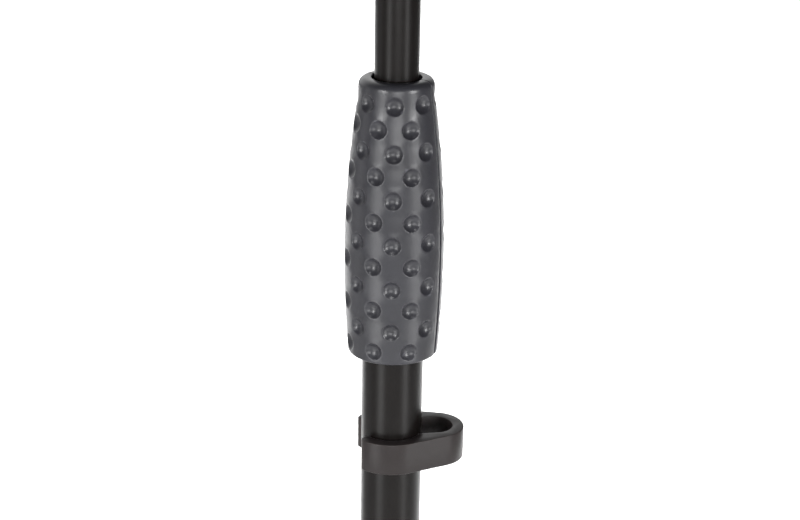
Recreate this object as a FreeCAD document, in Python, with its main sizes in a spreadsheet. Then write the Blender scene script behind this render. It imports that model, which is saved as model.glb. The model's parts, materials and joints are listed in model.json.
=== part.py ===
"""Music stand: tripod base, two-tube column with a squeeze-grip height clutch, tilting desk.

Frame: origin on the floor under the column, +Z up along the column, -Y towards the player, +X to
the player's right. The desk leans back towards +Y. Lengths are millimetres, angles degrees.
"""
import FreeCAD, Part
import math
import os
import Sketcher

SIZES = {
    # column: each size that has to fit round another is worked out from it
    "upper_radius": 8.75, "upper_wall": 1.2, "tube_gap": 2.25, "lower_wall": 1.5,
    "lower_radius": "=upper_radius + tube_gap + lower_wall",
    "column_top": 620.0, "mast_overlap": 298.0, "mast_length": 623.0,
    "mast_bottom": "=column_top - mast_overlap", "mast_top": "=mast_bottom + mast_length",
    "running_gap": 0.05, "side_gap": 0.3,
    "guide_length": 22.0, "guide_gap": 0.1, "bead_height": 2.0,
    "bead_width": "=tube_gap - 0.85", "plug_flange": 2.0, "plug_stem": 15.0,
    # base
    "foot_disc_radius": "=lower_radius + 2.5", "foot_disc_height": 6.0, "foot_plug_height": 18.0,
    "hub_wall": 8.5, "hub_radius": "=lower_radius + hub_wall",
    "hub_bottom": 44.0, "hub_height": 36.0, "hub_screw_drop": 6.0, "screw_sink": 1.0,
    "leg_length": 275.0, "leg_tube_radius": 8.0, "leg_tube_wall": 1.2, "leg_shoulder": 12.0,
    "shoulder_length": 6.0, "spigot_length": 24.0, "leg_foot_radius": "=leg_tube_radius + 4",
    "foot_sleeve_length": 26.0, "foot_sleeve_step": 1.6,
    "pivot_reach": "=hub_radius + leg_tube_radius + 1",
    "pivot_height": "=hub_bottom + hub_height / 2",
    "ear_radius": "=leg_tube_radius + 1", "ear_thickness": 5.0, "ear_step": 1.0,
    "knuckle_thickness": 12.0, "pivot_bolt_radius": 3.0, "pivot_head_radius": 5.5,
    "pivot_head_height": 3.5, "key_radius": 2.3, "key_depth": 2.5,
    "nut_radius": 5.6, "nut_height": 5.0, "thread_length": 4.0,
    # squeeze grip: outside
    "collar_depth": 20.0, "grip_height": 114.0, "grip_belly_height": 42.0, "shell_wall": 4.0,
    "grip_belly_radius": "=cavity_radius + shell_wall",
    "grip_base_radius": "=grip_belly_radius - 1.6", "base_round": 1.0,
    "grip_shoulder_height": "=grip_height - 9",
    "grip_shoulder_radius": "=cavity_top_radius + 2.7",
    "neck_radius": "=grip_shoulder_radius - 0.4", "neck_round": 3.0,
    # squeeze grip: inside
    "cavity_radius": "=collar_radius + 2", "cavity_taper_height": "=grip_height - 44",
    "cavity_top_radius": "=bush_radius + 0.6", "cavity_top_height": "=grip_height - 6",
    "mouth_radius": "=upper_radius + 1.15", "floor_lip_radius": "=collar_radius + 1",
    "floor_thickness": 2.0, "seam_gap": 0.15, "seam_mouth": 1.9,
    "lever_pivot_height": "=grip_height - 10", "lever_pivot_offset": 2.2,
    "lever_pin_radius": 1.5, "lever_pin_inner": "=upper_radius + 1.45",
    "lever_pin_outer": "=bush_radius + 1.8", "pin_play": 0.2,
    "collar_radius": "=lower_radius + 1.5", "collar_base": 2.2, "collar_height": 25.8,
    "groove_height": 10.0, "groove_width": 3.2, "groove_depth": 0.6, "groove_play": 0.1,
    "grub_radius": 1.5, "grub_height": 16.3, "grub_sink": 0.3, "mast_clearance": 0.35,
    "bush_radius": "=upper_radius + 3.25", "bush_base": "=grip_height - 30", "bush_height": 26.0,
    "bush_neck_radius": "=upper_radius + 0.85", "bush_neck_height": 2.0,
    "rib_width": 3.0, "rib_sink": 0.5, "bush_rib_height": "=bush_base + 6", "bush_rib_depth": 2.0,
    # lock plate, the nose that lifts it and its spring
    "nose_base": "=collar_base + collar_height + 2", "nose_reach": "=collar_radius - 1.4",
    "nose_half_width": 4.0, "nose_gap": 0.3, "nose_slope": 1.35,
    "plate_height": "=nose_base + 8", "plate_thickness": 3.0,
    "plate_fulcrum": "=collar_radius - 0.5", "plate_half_width": "=upper_radius + 3.25",
    "plate_reach": "=collar_radius + 0.5", "plate_tilt": 3.0, "plate_hole_gap": 0.2,
    "stop_gap": 1.2, "stop_reach": 1.0,
    "spring_wire_radius": 0.7, "spring_radius": "=upper_radius + 1.85",
    "spring_base": "=plate_height + plate_thickness + 1.8", "spring_turns": 8,
    # cable clip
    "clip_top_drop": 35.8, "clip_height": 13.5, "clip_wall": 4.9, "clip_gap": 0.1,
    "clip_loop_centre": "=lower_radius + 5.9", "clip_loop_bore": 7.3,
    "clip_loop_radius": "=clip_loop_bore + 4.7", "clip_turn": 34.0,
    "clip_mouth_half_angle": 44.0, "clip_mouth_turn": -4.0,
    # fork and tilt bolt
    "socket_radius": "=upper_radius + 3.25", "socket_drop": 20.0,
    "tilt_height": "=mast_top + 30", "fork_radius": "=socket_radius - 1",
    "fork_half_width": "=socket_radius + 0.5", "fork_root": 6.0, "tongue_half_width": 5.3,
    "tongue_radius": "=fork_radius - 1", "slot_depth": "=tongue_radius + 1.5",
    "tilt_bolt_radius": 3.0, "bolt_head_radius": 6.0, "bolt_head_height": 4.0,
    "bolt_end_sink": 3.0, "knob_radius": 16.0, "knob_height": 14.0, "knob_lobes": 6,
    "knob_lobe_radius": 4.0, "knob_lobe_spread": 1.15,
    # desk
    "desk_offset": "=socket_radius + 14", "desk_sheet": 1.0, "desk_width": 480.0,
    "desk_below": 130.0, "desk_above": 200.0, "ledge_depth": 50.0, "lip_height": 12.0,
    "desk_corner_radius": 22.0, "flange_half": 35.0, "flange_thickness": 3.0,
    "rivet_spacing": 25.0, "rivet_radius": 2.0, "rivet_head_radius": 4.2,
    "rivet_head_height": 1.6, "desk_lean": 20.0,
    "hole_radius": 7.0, "hole_pitch": "=(desk_width - 160) / 8", "hole_first": 70.0,
    "hole_columns": 4, "hole_rows": 5, "hole_lowest": -90.0, "hole_rise": 60.0,
}
MARGIN = 5.0
LEG_TURNS = (90.0, 210.0, 330.0)

doc = FreeCAD.newDocument("music_stand")
sheet = doc.addObject("Spreadsheet::Sheet", "sizes")
for row, alias in enumerate(SIZES, start=1):
    sheet.set(f"A{row}", alias)
    sheet.setAlias(f"B{row}", alias)
for row, size in enumerate(SIZES.values(), start=1):
    sheet.set(f"B{row}", str(size))
doc.recompute()


class Dim:
    """A length as a number, with the sheet expression that gives it."""

    def __init__(self, value, text):
        self.value = value
        self.text = text

    def __add__(self, other):
        other = dim(other)
        return Dim(self.value + other.value, f"({self.text} + {other.text})")

    def __sub__(self, other):
        other = dim(other)
        return Dim(self.value - other.value, f"({self.text} - {other.text})")

    def __mul__(self, other):
        other = dim(other)
        return Dim(self.value * other.value, f"({self.text} * {other.text})")

    def __truediv__(self, other):
        other = dim(other)
        return Dim(self.value / other.value, f"({self.text} / {other.text})")

    def __radd__(self, other):
        return dim(other) + self

    def __rsub__(self, other):
        return dim(other) - self

    def __rmul__(self, other):
        return dim(other) * self

    def __neg__(self):
        return dim(0) - self


def dim(source):
    """A sheet alias, a plain number or a Dim, as a Dim."""
    if isinstance(source, Dim):
        return source
    if isinstance(source, str):
        return Dim(size(source), f"sizes.{source}")
    return Dim(float(source), str(float(source)))


def size(alias):
    """The plain number in the sheet."""
    return float(sheet.get(alias))


def root(length):
    return Dim(math.sqrt(length.value), f"sqrt({length.text})")


def bind(item, prop, source):
    item.setExpression(prop, dim(source).text)


def place(item, x, y, z):
    bind(item, "Placement.Base.x", x)
    bind(item, "Placement.Base.y", y)
    bind(item, "Placement.Base.z", z)


TURNED = {
    "Z": FreeCAD.Rotation(),
    "X": FreeCAD.Rotation(FreeCAD.Vector(0, 1, 0), 90),
    "Y": FreeCAD.Rotation(FreeCAD.Vector(1, 0, 0), -90),
}


def cylinder(name, radius, length, at=(0, 0, 0), along="Z"):
    item = doc.addObject("Part::Cylinder", name)
    item.Placement = FreeCAD.Placement(FreeCAD.Vector(), TURNED[along])
    bind(item, "Radius", radius)
    bind(item, "Height", length)
    place(item, *at)
    return item


def box(name, low, high):
    """A block between two opposite corners."""
    item = doc.addObject("Part::Box", name)
    for prop, start, end in zip(("Length", "Width", "Height"), low, high):
        bind(item, prop, dim(end) - start)
    place(item, *low)
    return item


def sphere(name, radius, at=(0, 0, 0)):
    item = doc.addObject("Part::Sphere", name)
    bind(item, "Radius", radius)
    place(item, *at)
    return item


def hexagon(name, radius, length, at, along):
    item = doc.addObject("Part::Prism", name)
    item.Polygon = 6
    item.Placement = FreeCAD.Placement(FreeCAD.Vector(), TURNED[along])
    bind(item, "Circumradius", radius)
    bind(item, "Height", length)
    place(item, *at)
    return item


def joined(name, *items):
    item = doc.addObject("Part::MultiFuse", name)
    item.Shapes = list(items)
    return item


def cut(name, base, *tools):
    item = doc.addObject("Part::Cut", name)
    item.Base = base
    item.Tool = tools[0] if len(tools) == 1 else joined(name + "_tools", *tools)
    return item


def common(name, one, other):
    item = doc.addObject("Part::MultiCommon", name)
    item.Shapes = [one, other]
    return item


def grouped(name, items):
    item = doc.addObject("Part::Compound", name)
    item.Links = list(items)
    return item


def spun(item, turn):
    """Turn a finished item about the column axis."""
    item.Placement = FreeCAD.Placement(
        FreeCAD.Vector(), FreeCAD.Rotation(FreeCAD.Vector(0, 0, 1), turn))
    return item


def outline(body, plane, corners, arcs=None):
    """A closed sketch through the corners; arcs gives the radius of the edge after a corner."""
    arcs = arcs or {}
    sketch = body.newObject("Sketcher::SketchObject", body.Name + "_outline")
    support = [f for f in body.Origin.OriginFeatures if f.Role == plane][0]
    sketch.AttachmentSupport = [(support, "")]
    sketch.MapMode = "FlatFace"
    corners = [(dim(x), dim(y)) for x, y in corners]
    spots = [FreeCAD.Vector(x.value, y.value, 0) for x, y in corners]
    count = len(spots)
    for index in range(count):
        start = spots[index]
        end = spots[(index + 1) % count]
        if index in arcs:
            radius = dim(arcs[index]).value
            chord = end - start
            left = FreeCAD.Vector(-chord.y, chord.x, 0).normalize()
            centre = (start + end) / 2 + left * math.sqrt(radius ** 2 - (chord.Length / 2) ** 2)
            first = math.atan2(start.y - centre.y, start.x - centre.x)
            last = math.atan2(end.y - centre.y, end.x - centre.x)
            circle = Part.Circle(centre, FreeCAD.Vector(0, 0, 1), radius)
            sketch.addGeometry(Part.ArcOfCircle(circle, first, last))
        else:
            sketch.addGeometry(Part.LineSegment(start, end))
    for index in range(count):
        follower = (index + 1) % count
        sketch.addConstraint(Sketcher.Constraint("Coincident", index, 2, follower, 1))
    for index, (x, y) in enumerate(corners):
        for kind, length in (("DistanceX", x), ("DistanceY", y)):
            number = sketch.addConstraint(
                Sketcher.Constraint(kind, -1, 1, index, 1, length.value))
            sketch.setExpression(f"Constraints[{number}]", length.text)
        if index in arcs:
            number = sketch.addConstraint(
                Sketcher.Constraint("Radius", index, dim(arcs[index]).value))
            sketch.setExpression(f"Constraints[{number}]", dim(arcs[index]).text)
    return sketch


def turned(name, corners, arcs=None):
    """A body of revolution about Z from corners given as radius and height."""
    body = doc.addObject("PartDesign::Body", name)
    sketch = outline(body, "XZ_Plane", corners, arcs)
    revolution = body.newObject("PartDesign::Revolution", name + "_turning")
    revolution.Profile = sketch
    revolution.ReferenceAxis = (sketch, ["V_Axis"])
    revolution.Angle = 360
    return body


def padded(name, plane, corners, length):
    """A body of the outline's section, half its length each side of the plane."""
    body = doc.addObject("PartDesign::Body", name)
    sketch = outline(body, plane, corners)
    pad = body.newObject("PartDesign::Pad", name + "_pad")
    pad.Profile = sketch
    pad.Midplane = True
    bind(pad, "Length", length)
    return body


nodes = []


def node(name, item):
    item.Label = name
    nodes.append(item)
    return item


# ---- base -------------------------------------------------------------------------------------

EAR_OUTER = dim("knuckle_thickness") / 2 + "side_gap" + "ear_thickness"
EAR_INNER = dim("knuckle_thickness") / 2 + "side_gap"
LOWER_BORE = dim("lower_radius") - "lower_wall"
HUB_SCREW_Z = dim("hub_bottom") + "hub_height" - "hub_screw_drop"


def column_foot():
    disc = cylinder("foot_disc", "foot_disc_radius", "foot_disc_height")
    plug = cylinder("foot_plug", LOWER_BORE, "foot_plug_height", (0, 0, "foot_disc_height"))
    node("column_foot", joined("column_foot", disc, plug))


def hub():
    barrel = cylinder("hub_barrel", "hub_radius", "hub_height", (0, 0, "hub_bottom"))
    jaws = []
    slots = []
    for number, turn in enumerate(LEG_TURNS, start=1):
        low = dim("pivot_height") - "ear_radius"
        high = dim("pivot_height") + "ear_radius"
        block = box(f"jaw_block_{number}", (0, -EAR_OUTER, low), ("pivot_reach", EAR_OUTER, high))
        end = cylinder(f"jaw_end_{number}", "ear_radius", EAR_OUTER * 2,
                       ("pivot_reach", -EAR_OUTER, "pivot_height"), "Y")
        jaws.append(spun(joined(f"jaw_{number}", block, end), turn))
        gap = box(f"jaw_gap_{number}", ("hub_radius", -EAR_INNER, low - MARGIN),
                  (dim("pivot_reach") + "ear_radius" + MARGIN, EAR_INNER, high + MARGIN))
        hole = cylinder(f"jaw_hole_{number}", "pivot_bolt_radius", EAR_OUTER * 2,
                        ("pivot_reach", -EAR_OUTER, "pivot_height"), "Y")
        slots.append(spun(joined(f"jaw_slot_{number}", gap, hole), turn))
    solid = joined("hub_solid", barrel, *jaws)
    bore = cylinder("hub_bore", "lower_radius", "hub_height", (0, 0, "hub_bottom"))
    screw_hole = cylinder("hub_screw_hole", "grub_radius", "hub_radius", (0, 0, HUB_SCREW_Z), "Y")
    screw_hole.Placement.Rotation = FreeCAD.Rotation(FreeCAD.Vector(1, 0, 0), 90)
    node("hub", cut("hub", solid, bore, screw_hole, *slots))


def hub_screw():
    """Grub screw that clamps the hub on the column, reached from the player's side."""
    end = dim("hub_radius") - "screw_sink"
    screw = cylinder("hub_screw", "grub_radius", end - "lower_radius", (0, -end, HUB_SCREW_Z), "Y")
    node("hub_screw", screw)


def pivot_bolts():
    bolts = []
    nuts = []
    for number, turn in enumerate(LEG_TURNS, start=1):
        head_spot = ("pivot_reach", -EAR_OUTER - "pivot_head_height", "pivot_height")
        nut_spot = ("pivot_reach", EAR_OUTER, "pivot_height")
        shank = cylinder(f"bolt_shank_{number}", "pivot_bolt_radius",
                         EAR_OUTER * 2 + "thread_length",
                         ("pivot_reach", -EAR_OUTER, "pivot_height"), "Y")
        head = cylinder(f"bolt_head_{number}", "pivot_head_radius", "pivot_head_height", head_spot,
                        "Y")
        socket = hexagon(f"bolt_socket_{number}", "key_radius", "key_depth", head_spot, "Y")
        bolt = cut(f"pivot_bolt_{number}", joined(f"bolt_solid_{number}", shank, head), socket)
        bolts.append(spun(bolt, turn))
        nut = hexagon(f"nut_hex_{number}", "nut_radius", "nut_height", nut_spot, "Y")
        thread = cylinder(f"nut_thread_{number}", "pivot_bolt_radius", "thread_length", nut_spot,
                          "Y")
        nuts.append(spun(cut(f"pivot_nut_{number}", nut, thread), turn))
    node("pivot_bolts", grouped("pivot_bolts", bolts))
    node("pivot_nuts", grouped("pivot_nuts", nuts))


def leg(number, turn):
    """One leg, drawn along +X from its pivot, then sloped down to the floor and turned."""
    drop = size("pivot_height") - size("leg_foot_radius")
    slope = math.degrees(math.asin(drop / size("leg_length")))
    pivot = FreeCAD.Vector(size("pivot_reach"), 0, size("pivot_height"))
    seat = FreeCAD.Placement(FreeCAD.Vector(), FreeCAD.Rotation(FreeCAD.Vector(0, 0, 1), turn))
    seat = seat.multiply(FreeCAD.Placement(pivot, FreeCAD.Rotation(FreeCAD.Vector(0, 1, 0), slope)))
    half = dim("knuckle_thickness") / 2
    shoulder_end = dim("leg_shoulder") + "shoulder_length"
    eye_radius = dim("ear_radius") - "ear_step"
    eye = cylinder(f"eye_{number}", eye_radius, "knuckle_thickness", (0, -half, 0), "Y")
    web = box(f"web_{number}", (0, -half, -eye_radius), (shoulder_end, half, eye_radius))
    collar = cylinder(f"shoulder_{number}", "leg_tube_radius", "shoulder_length",
                      ("leg_shoulder", 0, 0), "X")
    tube_end = cylinder(f"web_limit_{number}", "leg_tube_radius", shoulder_end + eye_radius,
                        (-eye_radius, 0, 0), "X")
    spigot = cylinder(f"spigot_{number}", dim("leg_tube_radius") - "leg_tube_wall",
                      "spigot_length", (shoulder_end, 0, 0), "X")
    trimmed_web = common(f"web_trim_{number}", web, tube_end)
    solid = joined(f"knuckle_solid_{number}", eye, trimmed_web, collar, spigot)
    hole = cylinder(f"eye_hole_{number}", dim("pivot_bolt_radius") + "running_gap",
                    "knuckle_thickness", (0, -half, 0), "Y")
    knuckle = cut(f"leg_{number}_knuckle", solid, hole)
    tube_length = dim("leg_length") - shoulder_end
    skin = cylinder(f"leg_skin_{number}", "leg_tube_radius", tube_length, (shoulder_end, 0, 0), "X")
    inside = cylinder(f"leg_bore_{number}", dim("leg_tube_radius") - "leg_tube_wall", tube_length,
                      (shoulder_end, 0, 0), "X")
    tube = cut(f"leg_{number}_tube", skin, inside)
    sleeve_start = (dim("leg_length") - "foot_sleeve_length", 0, 0)
    sleeve = cylinder(f"foot_sleeve_{number}", dim("leg_foot_radius") - "foot_sleeve_step",
                      "foot_sleeve_length", sleeve_start, "X")
    ball = sphere(f"foot_ball_{number}", "leg_foot_radius", ("leg_length", 0, 0))
    pocket = cylinder(f"foot_pocket_{number}", "leg_tube_radius", "foot_sleeve_length",
                      sleeve_start, "X")
    foot = cut(f"leg_{number}_foot", joined(f"foot_solid_{number}", sleeve, ball), pocket)
    for item in (knuckle, tube, foot):
        item.Placement = seat
        node(item.Name, item)


# ---- column -----------------------------------------------------------------------------------

GRIP_BASE = dim("column_top") - "collar_depth"
GRUB_Z = GRIP_BASE + "grub_height"


def lower_tube():
    length = dim("column_top") - "foot_disc_height"
    skin = cylinder("lower_skin", "lower_radius", length, (0, 0, "foot_disc_height"))
    bore = cylinder("lower_bore", LOWER_BORE, length, (0, 0, "foot_disc_height"))
    holes = cylinder("lower_grub_holes", "grub_radius", dim("lower_radius") * 2,
                     (-dim("lower_radius"), 0, GRUB_Z), "X")
    node("lower_tube", cut("lower_tube", skin, bore, holes))


def upper_tube():
    """The mast, with a rolled bead above the guide bush."""
    length = dim("mast_top") - "mast_bottom"
    skin = cylinder("upper_skin", "upper_radius", length, (0, 0, "mast_bottom"))
    bead = cylinder("upper_bead", dim("upper_radius") + "bead_width", "bead_height",
                    (0, 0, dim("mast_bottom") + "guide_length" + dim("side_gap") * 2))
    bore = cylinder("upper_bore", dim("upper_radius") - "upper_wall", length, (0, 0, "mast_bottom"))
    node("upper_tube", cut("upper_tube", joined("upper_solid", skin, bead), bore))


def mast_plug():
    flange = cylinder("plug_flange_disc", dim("upper_radius") + "bead_width", "plug_flange",
                      (0, 0, dim("mast_bottom") - "plug_flange"))
    stem = cylinder("plug_stem", dim("upper_radius") - "upper_wall", "plug_stem",
                    (0, 0, "mast_bottom"))
    node("mast_plug", joined("mast_plug", flange, stem))


def guide_bush():
    bottom = dim("mast_bottom") + "side_gap"
    ring = cylinder("guide_ring", LOWER_BORE - "guide_gap", "guide_length", (0, 0, bottom))
    bore = cylinder("guide_bore", dim("upper_radius") + "running_gap", "guide_length", (0, 0, bottom))
    node("guide_bush", cut("guide_bush", ring, bore))


# ---- squeeze grip -----------------------------------------------------------------------------

def above_grip(height):
    return GRIP_BASE + height


def bulge_radius(rise, run):
    """Radius of an arc that leaves the belly upright and draws in by rise over run."""
    return (run * run + rise * rise) / (rise * 2)


UPPER_RUN = dim("grip_shoulder_height") - "grip_belly_height"
UPPER_ARC = bulge_radius(dim("grip_belly_radius") - "grip_shoulder_radius", UPPER_RUN)
LOWER_RUN = dim("grip_belly_height") - "base_round"
LOWER_ARC = bulge_radius(dim("grip_belly_radius") - "grip_base_radius", LOWER_RUN)


def grip_blank(name):
    """The whole barrel of the grip with its cavity, before it is parted into two shells."""
    neck_top = dim("grip_height") - "neck_round"
    corners = [
        ("floor_lip_radius", 0),
        (dim("grip_base_radius") - "base_round", 0),
        ("grip_base_radius", "base_round"),
        ("grip_belly_radius", "grip_belly_height"),
        ("grip_shoulder_radius", "grip_shoulder_height"),
        ("neck_radius", neck_top),
        (dim("neck_radius") - "neck_round", "grip_height"),
        ("mouth_radius", "grip_height"),
        ("mouth_radius", dim("grip_height") - "neck_round"),
        ("cavity_top_radius", dim("grip_height") - "neck_round"),
        ("cavity_top_radius", "cavity_top_height"),
        ("cavity_radius", "cavity_taper_height"),
        ("cavity_radius", "floor_thickness"),
        ("floor_lip_radius", "floor_thickness"),
    ]
    corners = [(radius, above_grip(height)) for radius, height in corners]
    arcs = {1: "base_round", 2: LOWER_ARC, 3: UPPER_ARC, 5: "neck_round"}
    return turned(name, corners, arcs)


def half_ring(name, inner, outer, bottom, height):
    """A rib inside the front shell: half a ring on the player's side."""
    disc = cylinder(name + "_disc", outer, height, (0, 0, bottom))
    hole = cylinder(name + "_hole", inner, height, (0, 0, bottom))
    keep = box(name + "_side", (-dim(outer), -dim(outer), bottom),
               (outer, -dim("seam_gap"), dim(bottom) + height))
    return common(name, cut(name + "_ring", disc, hole), keep)


def front_shell():
    reach = dim("grip_belly_radius") + MARGIN
    side = box("front_side", (-reach, -reach, GRIP_BASE - MARGIN),
               (reach, -dim("seam_gap"), above_grip("grip_height") + MARGIN))
    half = common("front_half", grip_blank("front_blank"), side)
    wall = dim("cavity_radius") + "rib_sink"
    collar_rib = half_ring("collar_rib", dim("collar_radius") - "groove_depth", wall,
                           above_grip("groove_height") + "groove_play",
                           dim("groove_width") - dim("groove_play") * 2)
    bush_rib = half_ring("bush_rib", "bush_radius", dim("cavity_top_radius") + "bush_rib_depth",
                         above_grip("bush_rib_height"), "rib_width")
    stop_radius = dim("plate_fulcrum") - "stop_reach"
    low_stop = half_ring("low_stop", stop_radius, wall,
                         above_grip(dim("plate_height") - "rib_width" - "stop_gap"), "rib_width")
    high_stop = half_ring("high_stop", stop_radius, wall,
                          above_grip(dim("plate_height") + "plate_thickness" + "stop_gap"),
                          "rib_width")
    node("front_shell", joined("front_shell", half, collar_rib, bush_rib, low_stop, high_stop))


def lever_shell():
    """The rear half, hinged at the neck, with the wedge that lifts the lock plate."""
    reach = dim("grip_belly_radius") + MARGIN
    low = GRIP_BASE - MARGIN
    high = above_grip("grip_height") + MARGIN
    bend = above_grip("lever_pivot_height")
    region = [("seam_mouth", low), (reach, low), (reach, high), ("seam_gap", high),
              ("seam_gap", bend)]
    half = common("lever_half", grip_blank("lever_blank"),
                  padded("lever_side", "YZ_Plane", region, reach * 2))
    wall = dim("cavity_radius") + "rib_sink"
    plate_rear_drop = (dim("plate_reach") + "plate_fulcrum") * math.sin(
        math.radians(size("plate_tilt")))
    under_plate = above_grip(dim("plate_height") - plate_rear_drop - "nose_gap")
    foot = above_grip("nose_base")
    lead = (dim("plate_reach") - "nose_reach") * "nose_slope"
    crest = (wall - "plate_reach") * "nose_slope"
    wedge = [("nose_reach", foot), (wall, foot), (wall, under_plate + crest),
             ("nose_reach", under_plate - lead)]
    nose = padded("lever_nose", "YZ_Plane", wedge, dim("nose_half_width") * 2)
    reach_in = dim("lever_pin_outer") + "pin_play"
    sockets = cylinder("pin_sockets", dim("lever_pin_radius") + "running_gap", reach_in * 2,
                       (-reach_in, "lever_pivot_offset", bend), "X")
    node("lever_shell", cut("lever_shell", joined("lever_solid", half, nose), sockets))


def lever_pins():
    length = dim("lever_pin_outer") - "lever_pin_inner"
    height = above_grip("lever_pivot_height")
    pins = [cylinder(f"lever_pin_{side}", "lever_pin_radius", length,
                     (start, "lever_pivot_offset", height), "X")
            for side, start in (("left", -dim("lever_pin_outer")), ("right", "lever_pin_inner"))]
    node("lever_pins", grouped("lever_pins", pins))


def lower_collar():
    """Collar on the end of the lower tube; the front shell's rib sits in its groove."""
    groove_top = dim("groove_height") + "groove_width"
    groove_radius = dim("collar_radius") - "groove_depth"
    top = dim("collar_base") + "collar_height"
    bore = dim("upper_radius") + "mast_clearance"
    corners = [
        ("lower_radius", "collar_base"), ("collar_radius", "collar_base"),
        ("collar_radius", "groove_height"), (groove_radius, "groove_height"),
        (groove_radius, groove_top), ("collar_radius", groove_top),
        ("collar_radius", top), (bore, top), (bore, "collar_depth"),
        ("lower_radius", "collar_depth"),
    ]
    blank = turned("collar_blank", [(radius, above_grip(z)) for radius, z in corners])
    holes = cylinder("collar_grub_holes", "grub_radius", dim("collar_radius") * 2,
                     (-dim("collar_radius"), 0, GRUB_Z), "X")
    node("lower_collar", cut("lower_collar", blank, holes))


def collar_screws():
    inner = LOWER_BORE + "grub_sink"
    outer = dim("collar_radius") - "grub_sink"
    screws = [cylinder(f"collar_screw_{side}", "grub_radius", outer - inner, (start, 0, GRUB_Z), "X")
              for side, start in (("left", -outer), ("right", inner))]
    node("collar_screws", grouped("collar_screws", screws))


def upper_bush():
    """Nylon bush that guides the mast in the neck of the grip and carries the lever's pins."""
    bottom = above_grip("bush_base")
    body = cylinder("bush_body", "bush_radius", "bush_height", (0, 0, bottom))
    neck = cylinder("bush_neck", "bush_neck_radius", "bush_neck_height",
                    (0, 0, bottom + "bush_height"))
    bore = cylinder("bush_bore", dim("upper_radius") + "running_gap",
                    dim("bush_height") + "bush_neck_height", (0, 0, bottom))
    holes = [cylinder(f"bush_pin_hole_{side}", "lever_pin_radius",
                      dim("bush_radius") - "lever_pin_inner",
                      (start, "lever_pivot_offset", above_grip("lever_pivot_height")), "X")
             for side, start in (("left", -dim("bush_radius")), ("right", "lever_pin_inner"))]
    node("upper_bush", cut("upper_bush", joined("bush_solid", body, neck), bore, *holes))


def lock_plate():
    """Steel plate round the mast, tilted until its hole bites; it rocks on its front edge."""
    bottom = above_grip("plate_height")
    blank = box("plate_blank", (-dim("plate_half_width"), -dim("plate_fulcrum"), bottom),
                ("plate_half_width", "plate_reach", bottom + "plate_thickness"))
    rounded = cylinder("plate_round", "plate_reach", "plate_thickness", (0, 0, bottom))
    hole = cylinder("plate_hole", dim("upper_radius") + "plate_hole_gap", "plate_thickness",
                    (0, 0, bottom))
    plate = cut("lock_plate", common("plate_disc", blank, rounded), hole)
    fulcrum = FreeCAD.Vector(0, -size("plate_fulcrum"), bottom.value)
    tilt = FreeCAD.Rotation(FreeCAD.Vector(1, 0, 0), -size("plate_tilt"))
    plate.Placement = FreeCAD.Placement(FreeCAD.Vector(), tilt, fulcrum)
    node("lock_plate", plate)


def lock_spring():
    """Coil spring round the mast that presses the lock plate down, as half turns of wire."""
    halves = int(size("spring_turns")) * 2
    room = dim("bush_base") - "spring_base" - dim("spring_wire_radius") * 3
    rise = room / halves
    lean = math.degrees(math.asin(rise.value / 2 / size("spring_radius")))
    first = above_grip(dim("spring_base") + "spring_wire_radius") + rise / 2
    coil = []
    for number in range(halves):
        side = number % 2
        turn = FreeCAD.Rotation(FreeCAD.Vector(0, 0, 1), 180 * side)
        slope = FreeCAD.Rotation(FreeCAD.Vector(0, 1, 0), lean - 2 * lean * side)
        wire = doc.addObject("Part::Torus", f"spring_wire_{number + 1}")
        wire.Angle3 = 180
        wire.Placement = FreeCAD.Placement(FreeCAD.Vector(), slope.multiply(turn))
        bind(wire, "Radius1", "spring_radius")
        bind(wire, "Radius2", "spring_wire_radius")
        place(wire, 0, 0, first + rise * number)
        coil.append(wire)
    node("lock_spring", joined("lock_spring", *coil))


# ---- cable clip -------------------------------------------------------------------------------

def cable_clip():
    """Snap-on clip: a C round the lower tube that runs out into a closed teardrop loop."""
    bore = dim("lower_radius") + "clip_gap"
    outer = bore + "clip_wall"
    bottom = GRIP_BASE - "clip_top_drop" - "clip_height"
    tall = dim("clip_height")
    centre = dim("clip_loop_centre")
    small = dim("clip_loop_radius")
    cosine = (outer - small) / centre
    sine = root(1 - cosine * cosine)
    flank = [(outer * cosine, -(outer * sine)), (centre + small * cosine, -(small * sine)),
             (centre + small * cosine, small * sine), (outer * cosine, outer * sine)]
    flanks = padded("clip_flanks", "XY_Plane", flank, tall)
    place(flanks, 0, 0, bottom + tall / 2)
    band = cylinder("clip_band", outer, tall, (0, 0, bottom))
    tip = cylinder("clip_tip", small, tall, (centre, 0, bottom))
    bore_cut = cylinder("clip_bore", bore, tall, (0, 0, bottom))
    loop_cut = cylinder("clip_loop", "clip_loop_bore", tall, (centre, 0, bottom))
    throat = box("clip_throat", (0, -dim("clip_loop_bore"), bottom),
                 (centre, "clip_loop_bore", bottom + tall))
    reach = outer * 2
    tangent = math.tan(math.radians(size("clip_mouth_half_angle")))
    mouth = padded("clip_mouth", "XY_Plane",
                   [(0, 0), (-reach, reach * tangent), (-reach, -(reach * tangent))], tall)
    place(spun(mouth, size("clip_mouth_turn")), 0, 0, bottom + tall / 2)
    clip = cut("cable_clip", joined("clip_solid", band, tip, flanks), bore_cut, loop_cut, throat,
               mouth)
    node("cable_clip", spun(clip, size("clip_turn")))


# ---- desk -------------------------------------------------------------------------------------

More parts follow.
